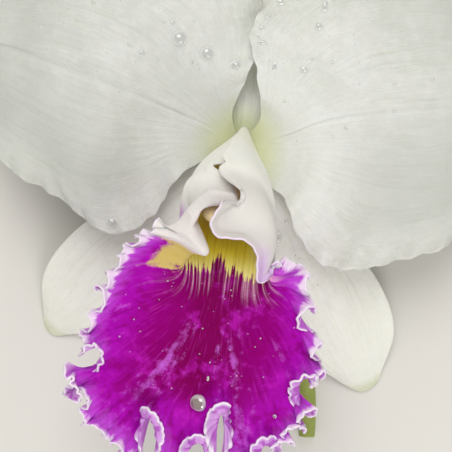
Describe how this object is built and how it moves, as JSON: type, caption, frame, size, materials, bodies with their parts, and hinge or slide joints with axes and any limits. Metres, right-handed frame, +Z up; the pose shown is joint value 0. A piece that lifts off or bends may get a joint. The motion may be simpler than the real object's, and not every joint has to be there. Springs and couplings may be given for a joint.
{
  "type": "cattleya orchid flower",
  "caption": "Large cattleya orchid flower lying face up: spreading sepals and broad ruffled petals round a rolled, flared lip, on a cut stalk.",
  "frame": {"origin": "on the surface that the flower lies on, beneath the middle of its box", "axes": "+Z up out of the flower's face, +X across the two petals towards the one that laps over, +Y towards the dorsal sepal, -Y towards the lip and the cut end of the stalk"},
  "size_m": [0.1652, 0.1624, 0.0595],
  "materials": {
    "petal": "satin, fleshy white petal tissue",
    "sepal": "satin, greenish-cream sepal tissue",
    "lip": "velvety magenta-purple with a yellow throat and a white rim",
    "column": "waxy ivory",
    "anther_cap": "waxy ivory",
    "pollinium": "waxy yellow",
    "stalk": "smooth yellow-green"
  },
  "bodies": {
    "root": {"petal_left": "petal", "petal_right": "petal", "dorsal_sepal": "sepal", "lateral_sepal_left": "sepal", "lateral_sepal_right": "sepal", "lip": "lip", "column": "column", "anther_cap": "anther_cap", "pollinium_1": "pollinium", "pollinium_2": "pollinium", "pollinium_3": "pollinium", "pollinium_4": "pollinium", "ovary_and_pedicel": "stalk"}
  },
  "joints": []
}
